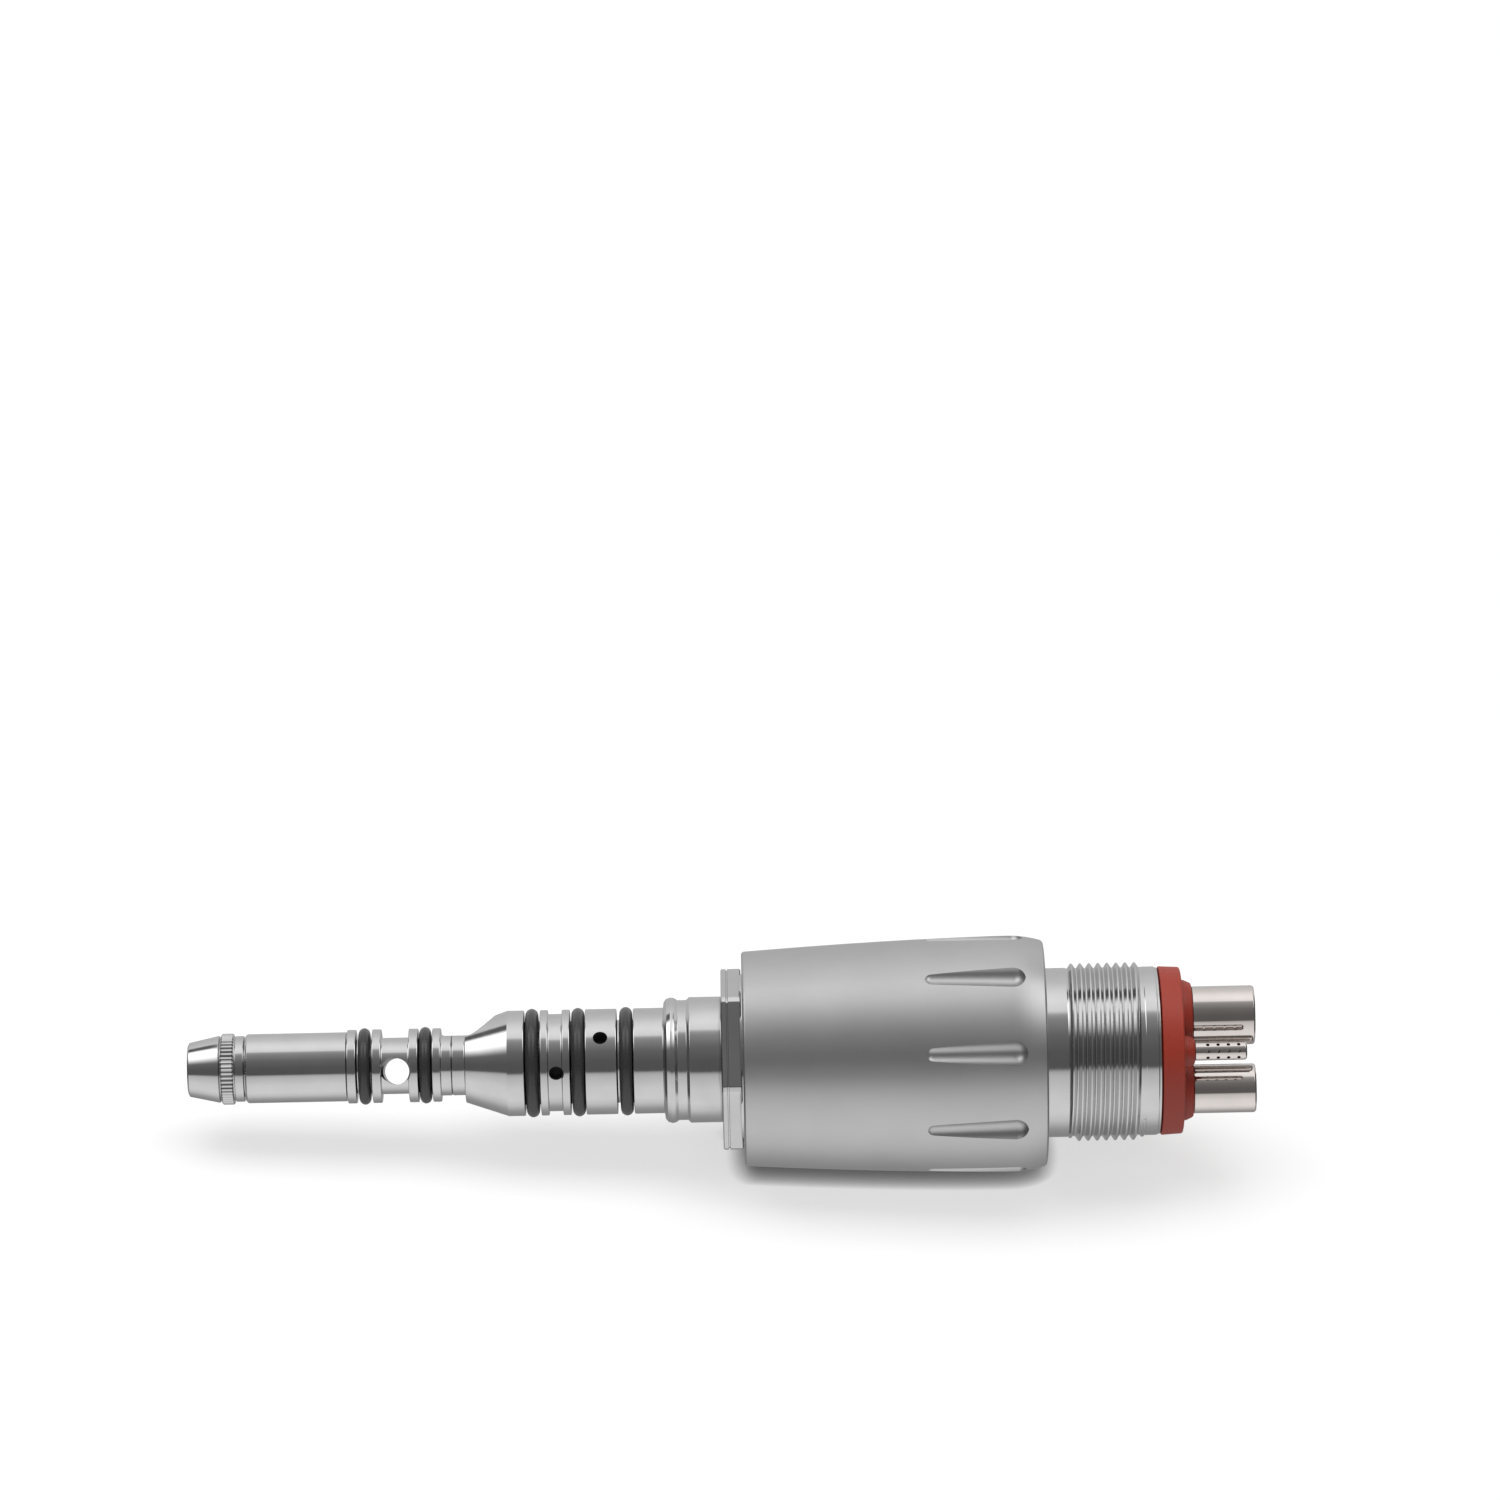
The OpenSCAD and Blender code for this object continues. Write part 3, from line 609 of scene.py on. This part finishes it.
def regulator_ring():
    """The barrel as a grid whose columns follow the outlines of the flutes, so that their edges are crisp."""
    inside = [0, 0.3, 0.55, 0.75, 0.88, 0.96, 1.0]
    outside = [0.03, 0.1, 0.25, 0.5, 0.75, 1.0]
    bore = CORE_R + RUN_GAP
    plain = [RING_FRONT + 0.3 + 0.6 * i for i in range(21)]
    fine = [13.6 + 0.08 * i for i in range(int((FLUTE["back"] + 0.4 - 13.6) / 0.08))]
    stations = [x for x in plain if x < 13.5] + fine
    sector = 2 * math.pi / FLUTES

    def ring_points(x, r, fluted):
        pts = []
        w = max(flute_half_width(x), 0.03) if fluted else 0.03
        cutter_r, cutter_h = scoop(x)
        for k in range(FLUTES):
            middle = math.radians(UP_CLOCK - 90) + k * sector
            side = [-(w + (sector * r / 2 - w) * t) for t in reversed(outside[:-1])]
            side += [-w * u for u in reversed(inside[1:])] + [0]
            side += [w * u for u in inside[1:]] + [w + (sector * r / 2 - w) * t for t in outside]
            for s in side:
                depth = 0.0
                if fluted and abs(s) < w and cutter_r > cutter_h:
                    depth = max(math.sqrt(max(cutter_r ** 2 - s * s, 0)) - cutter_h, 0)
                a = middle + s / r
                pts.append(Vector((x, (r - depth) * math.sin(a), (r - depth) * math.cos(a))) * MM)
        return pts

    rest = soften([(stations[-1], barrel(stations[-1])), (22.1, barrel(22.1)), (22.58, barrel(22.58)),
                   (RING_BACK, 7.8), (RING_BACK, bore + 0.12), (RING_BACK - 0.12, bore),
                   (RING_FRONT + 0.1, bore), (RING_FRONT, bore + 0.1), (RING_FRONT, barrel(RING_FRONT) - 0.14),
                   (RING_FRONT + 0.12, barrel(RING_FRONT + 0.12)),
                   (RING_FRONT + 0.3, barrel(RING_FRONT + 0.3))], 0.12)
    loops = [ring_points(x, barrel(x), True) for x in stations]
    loops += [ring_points(x, r, False) for x, r in rest[1:-1]]
    bm = bmesh.new()
    rings = [[bm.verts.new(p) for p in loop] for loop in loops]
    for one, two in zip(rings, rings[1:] + rings[:1]):
        for i in range(len(one)):
            j = (i + 1) % len(one)
            bm.faces.new([one[i], one[j], two[j], two[i]])
    return place_piece(finish_mesh("regulator_ring_detail", bm, 26), "regulator_ring")


# ---------- hose end ----------

THREAD = {"start": 24.3, "turns": 8.2, "pitch": 0.635, "root": 5.95}
THREAD_SECTION = [(-0.33, -0.12), (-0.1, 0.27), (-0.05, 0.34), (0.05, 0.34), (0.1, 0.27), (0.33, -0.12)]
THREAD_STEPS = 120  # sections per turn
LAND_X, LAND_R = 29.6, 5.93  # the plain part behind the thread


def rear_connector():
    """The sleeve, with the thread as one helix that runs out at both ends."""
    t = THREAD
    front, back, bore, relief = low("rear_connector"), high("rear_connector"), 5.0, t["root"] - 0.04
    bm = bmesh.new()
    sleeve = [(front, bore), (front, CORE_R), (t["start"] - 0.1, CORE_R), (t["start"], relief), (LAND_X, relief),
              (LAND_X + 0.05, LAND_R), (back - 0.3, LAND_R), (back - 0.22, LAND_R - 0.06),
              (back - 0.1, LAND_R - 0.06), (back, LAND_R - 0.2), (back, bore), (front, bore)]
    lathe(bm, soften(sleeve, 0.04), 180)
    rings = []
    last = round(t["turns"] * THREAD_STEPS)
    for i in range(last + 1):
        turn = i / THREAD_STEPS - 0.5
        a = 2 * math.pi * turn
        x = t["start"] + 0.33 + t["pitch"] * turn
        lift = min(1.0, 0.05 + min(i, last - i) / (THREAD_STEPS * 0.3))
        ring = []
        for dx, up in THREAD_SECTION:
            r = relief + up * lift if up > 0 else t["root"] + up
            spot = Vector((x + dx * (0.6 + 0.4 * lift), r * math.sin(a), r * math.cos(a)))
            ring.append(bm.verts.new(spot * MM))
        rings.append(ring)
    for one, two in zip(rings, rings[1:]):
        for i in range(len(THREAD_SECTION)):
            j = (i + 1) % len(THREAD_SECTION)
            bm.faces.new([one[i], one[j], two[j], two[i]])
    bm.faces.new(rings[0])
    bm.faces.new(list(reversed(rings[-1])))
    return place_piece(finish_mesh("rear_connector_detail", bm, 30), "rear_connector")


# Clock angle, distance from the axis and wall of each hose tube
TUBES = {"exhaust_tube": (0, 2.39, 0.4), "drive_tube": (180, 2.75, 0.4), "water_tube": (92, 3.2, 0.35),
         "air_tube": (268, 3.2, 0.35)}
SHANK_STEP = 0.2
FILTER_R = 0.125
FILTER_ROWS, FILTER_X, FILTER_PITCH = 4, 34, 0.72


def hose_gasket():
    """The moulded rubber face: a rim and a collar round each tube, melted together."""
    flat = 32.3
    bm = bmesh.new()
    rim = [(GASKET_X, 0), (GASKET_X, 5.94), (flat - 0.06, 5.86), (flat, 5.74), (flat, 0)]
    lathe(bm, soften(rim, 0.08), 120)
    for name, (clock, out, _) in TUBES.items():
        r = across(name)
        collar = [(flat - 0.6, 0), (flat - 0.6, r + 0.5), (flat + 0.25, r + 0.48), (COLLAR_X - 0.1, r + 0.28),
                  (COLLAR_X, r + 0.18), (COLLAR_X, 0)]
        lathe(bm, collar, 96, frame_at(0, clock, out))
    obj = finish_mesh("hose_gasket_detail", bm, weighted=False)
    melt = obj.modifiers.new("melt", "REMESH")
    melt.mode, melt.voxel_size = "VOXEL", 0.055 * MM
    ease = obj.modifiers.new("ease", "SMOOTH")
    ease.factor, ease.iterations = 0.5, 3
    bake_modifiers(obj, 180)
    return place_piece(obj, "hose_gasket")


def hose_tube(node, holes=False):
    clock, out, wall = TUBES[node]
    r, front, back = across(node), low(node), high(node)
    bore, shank, step = r - wall, r - SHANK_STEP, COLLAR_X + 0.02
    obj = turned(node + "_detail", [
        (front, 0), (front, shank), (step, shank), (step, r), (back - 0.12, r), (back, r - 0.1),
        (back, bore + 0.06), (back - 0.08, bore), (front + 0.5, bore), (front + 0.5, 0),
    ], 0.06, 96, frame_at(0, clock, out))
    if holes:
        pierce = [(-2, 0), (-2, FILTER_R), (2, FILTER_R), (2, 0)]
        upright = Matrix.Rotation(-math.pi / 2, 4, "Y")
        cutters = []
        for row in range(FILTER_ROWS):
            for turn in range(4):
                spin = Matrix.Rotation(math.radians(45 * turn - UP_CLOCK + clock), 4, "X")
                cutters.append((pierce, frame_at(FILTER_X + FILTER_PITCH * row, clock, out) @ spin @ upright))
        # The filter holes' walls get the near-black painted shade.
        drill(obj, cutters, 30, HOLE_PAINTED_SHADE)
    return place_piece(obj, node)


# ---------- make the pieces ----------

lamp_cap()
lamp_tube()
stem()
spigot_body()
for node in [n for n in nodes if n.startswith(("stem_seal", "spigot_seal"))]:
    seal_ring(node)
wrench_flange()
regulator_ring()
rear_connector()
hose_gasket()
for node in TUBES:
    hose_tube(node, node in ("water_tube", "air_tube"))


# ---------- floor, light and camera ----------

SENSOR, LENS = 36, 180  # mm
CAMERA_ELEVATION = 36.0
CAMERA_DISTANCE = 528.616  # mm from the point it looks at
CAMERA_TILT = 2.35696  # degrees that it then looks above that point
AXIS_SLOPE = 1.15  # degrees that the hose end stands higher in the picture
DROOP = 2.9  # degrees that the tip leans down towards the floor
REST_X = 12.0  # station where the barrel touches the floor
LOOK_AT = Vector((1.97, 0, 0))  # mm


def camera():
    cam = bpy.data.objects.new("camera", bpy.data.cameras.new("camera"))
    bpy.context.scene.collection.objects.link(cam)
    cam.data.sensor_width, cam.data.lens = SENSOR, LENS
    e = math.radians(CAMERA_ELEVATION)
    back = Vector((0, -math.cos(e), math.sin(e)))
    cam.location = (LOOK_AT + back * CAMERA_DISTANCE) * MM
    up = back.cross(Vector((1, 0, 0)))
    if up.z < 0:
        up.negate()
    roll = Matrix.Rotation(-math.radians(AXIS_SLOPE), 3, back)
    side, up = roll @ Vector((1, 0, 0)), roll @ up
    pitch = Matrix.Rotation(math.radians(CAMERA_TILT), 3, side)
    back, up = pitch @ back, pitch @ up
    cam.matrix_world = Matrix.Translation(cam.location) @ Matrix((side, up, back)).transposed().to_4x4()
    cam.data.clip_start, cam.data.clip_end = 0.01, 20
    bpy.context.scene.camera = cam


def edge(tree, source, start, end):
    """A soft step from 0 to 1 between two values of a source."""
    n = add(tree, "ShaderNodeMapRange", interpolation_type="SMOOTHSTEP")
    n.inputs["From Min"].default_value, n.inputs["From Max"].default_value = start, end
    tree.links.new(source, n.inputs["Value"])
    return n.outputs["Result"]


def combine(tree, operation, *values):
    n = add(tree, "ShaderNodeMath", operation=operation)
    for socket, value in zip(n.inputs, values):
        if isinstance(value, float):
            socket.default_value = value
        else:
            tree.links.new(value, socket)
    return n.outputs[0]


def blend(tree, under, over, share):
    """under where share is 0, over where it is 1."""
    gap = combine(tree, "SUBTRACT", over, under)
    return combine(tree, "ADD", under, combine(tree, "MULTIPLY", gap, share))


FLOOR_GLOW = 0.6  # even glow of the pale floor, dimmed to a painted contact shadow where something nearly touches it
CONTACT_SHADOW_REACH = 1.4  # mm, reach of the painted contact shadow


def floor():
    """A pale sheet that glows evenly, with a painted contact shadow where something nearly touches it, and that
    touches the barrel.
    """
    bm = bmesh.new()
    bmesh.ops.create_grid(bm, x_segments=1, y_segments=1, size=3.0)
    obj = finish_mesh("floor", bm, weighted=False)
    lean = math.radians(DROOP)
    touch = Vector((REST_X * MM, 0, -barrel(REST_X) * MM / math.cos(lean)))
    obj.matrix_world = Matrix.Translation(touch) @ Matrix.Rotation(lean, 4, "Y")
    mat, tree, shader = material("floor_white")
    paper = noise(tree, 0.02, 3.0)
    tree.links.new(ramp(tree, paper.outputs["Fac"], 0.28, 0.3), shader.inputs["Base Color"])
    shader.inputs["Roughness"].default_value = 0.9
    shader.inputs["Specular IOR Level"].default_value = 0.1
    # Painted contact shadow: ambient occlusion dims the floor's glow close to the parts.
    contact_shadow = add(tree, "ShaderNodeAmbientOcclusion", samples=8)
    contact_shadow.inputs["Distance"].default_value = CONTACT_SHADOW_REACH * MM
    shader.inputs["Emission Color"].default_value = (1, 1, 1, 1)
    glow_with_painted_shadow = combine(tree, "POWER", contact_shadow.outputs["AO"], 2.0)
    tree.links.new(combine(tree, "MULTIPLY", glow_with_painted_shadow, FLOOR_GLOW), shader.inputs["Emission Strength"])
    obj.visible_glossy = False
    obj.data.materials.append(mat)


def area_light(name, place, size, power):
    """A rectangular lamp that shines at the object."""
    light = bpy.data.lights.new(name, "AREA")
    light.shape, light.size, light.size_y, light.energy = "RECTANGLE", size[0], size[1], power
    obj = bpy.data.objects.new(name, light)
    bpy.context.scene.collection.objects.link(obj)
    obj.location = place
    obj.rotation_mode = "QUATERNION"
    obj.rotation_quaternion = Vector(place).to_track_quat("Z", "Y")
    return obj


# The studio round the axis: degrees from the zenith towards the back, and brightness. A wide light hangs above
# and behind, a dark card stands high on the viewer's side, and it is light in front and darker behind and below.
AROUND = [(-180, 0.5), (-160, 0.86), (-143, 1.02), (-114, 0.98), (-101, 0.88), (-86, 0.75), (-80, 0.6),
          (-76, 0.13), (-54, 0.14), (-30, 0.2), (-8, 0.36), (-1, 0.5), (4, 1.08), (20, 1.2), (35, 1.1),
          (55, 0.86), (83, 0.7), (103, 0.62), (126, 0.38), (149, 0.3), (168, 0.4)]
RAMP_TOP = 2.0  # brightness that a colour ramp's 1 stands for
# Below, aside is how far a direction points along the axis, from 0 to 1, and turn is an angle like those above.
END_BOX = {"aside": (0.3, 0.72), "turn": (-34, 4, 22, 30), "level": 2.2}
END_STRIP = {"aside": (0.26, 0.72), "turn": (31, 48), "level": 0.15}
FAR_END = {"aside": (0.7, 0.84), "level": 0.1}
# Place, width and depth in metres, and power in watts
LAMPS = {"overhead": ((0.0, 0.1, 0.6), (0.7, 0.35), 3.2), "front_fill": ((0.0, -0.5, 0.45), (0.8, 0.4), 1.4)}


def inverse(tree, share):
    return combine(tree, "SUBTRACT", 1.0, share)


def both(tree, one, two):
    return combine(tree, "MULTIPLY", one, two)


def between(tree, source, start, end, soft=0.05):
    """1 between start and end, 0 outside."""
    return both(tree, edge(tree, source, start - soft, start + soft),
                inverse(tree, edge(tree, source, end - soft, end + soft)))


def brightness_around(tree, turn):
    """The brightness that AROUND gives for an angle."""
    curve = add(tree, "ShaderNodeValToRGB")
    stops = curve.color_ramp.elements
    rounds = AROUND + [(180, AROUND[0][1])]
    for k, (degrees, level) in enumerate(rounds):
        position = (degrees + 180) / 360
        stop = stops[k] if k in (0, len(AROUND)) else stops.new(position)
        stop.position = position
        stop.color = opaque(level / RAMP_TOP)
    tree.links.new(combine(tree, "MULTIPLY_ADD", turn, 0.5 / math.pi, 0.5), curve.inputs["Fac"])
    return combine(tree, "MULTIPLY", curve.outputs["Color"], RAMP_TOP)


def studio():
    """Lights and cards round the object, with a soft box high at each end and darker ends."""
    world = bpy.data.worlds.new("studio")
    bpy.context.scene.world = world
    world.use_nodes = True
    tree = world.node_tree
    where = add(tree, "ShaderNodeTexCoord")
    split = add(tree, "ShaderNodeSeparateXYZ")
    tree.links.new(where.outputs["Generated"], split.inputs["Vector"])
    aside = combine(tree, "ABSOLUTE", split.outputs["X"], 0.0)
    turn = combine(tree, "ARCTAN2", split.outputs["Y"], split.outputs["Z"])
    sky = brightness_around(tree, turn)
    start, full, fade, end = (math.radians(d) for d in END_BOX["turn"])
    lit = both(tree, edge(tree, turn, start, full), inverse(tree, edge(tree, turn, fade, end)))
    sky = blend(tree, sky, END_BOX["level"], both(tree, between(tree, aside, *END_BOX["aside"]), lit))
    dark = between(tree, turn, *(math.radians(d) for d in END_STRIP["turn"]))
    sky = blend(tree, sky, END_STRIP["level"], both(tree, between(tree, aside, *END_STRIP["aside"]), dark))
    sky = blend(tree, sky, FAR_END["level"], edge(tree, aside, *FAR_END["aside"]))
    background = tree.nodes["Background"]
    background.inputs["Color"].default_value = opaque(1)
    tree.links.new(sky, background.inputs["Strength"])
    for name, (place, size, power) in LAMPS.items():
        area_light(name, place, size, power).visible_glossy = False


camera()
floor()
studio()
bpy.context.scene.view_settings.view_transform = "Standard"
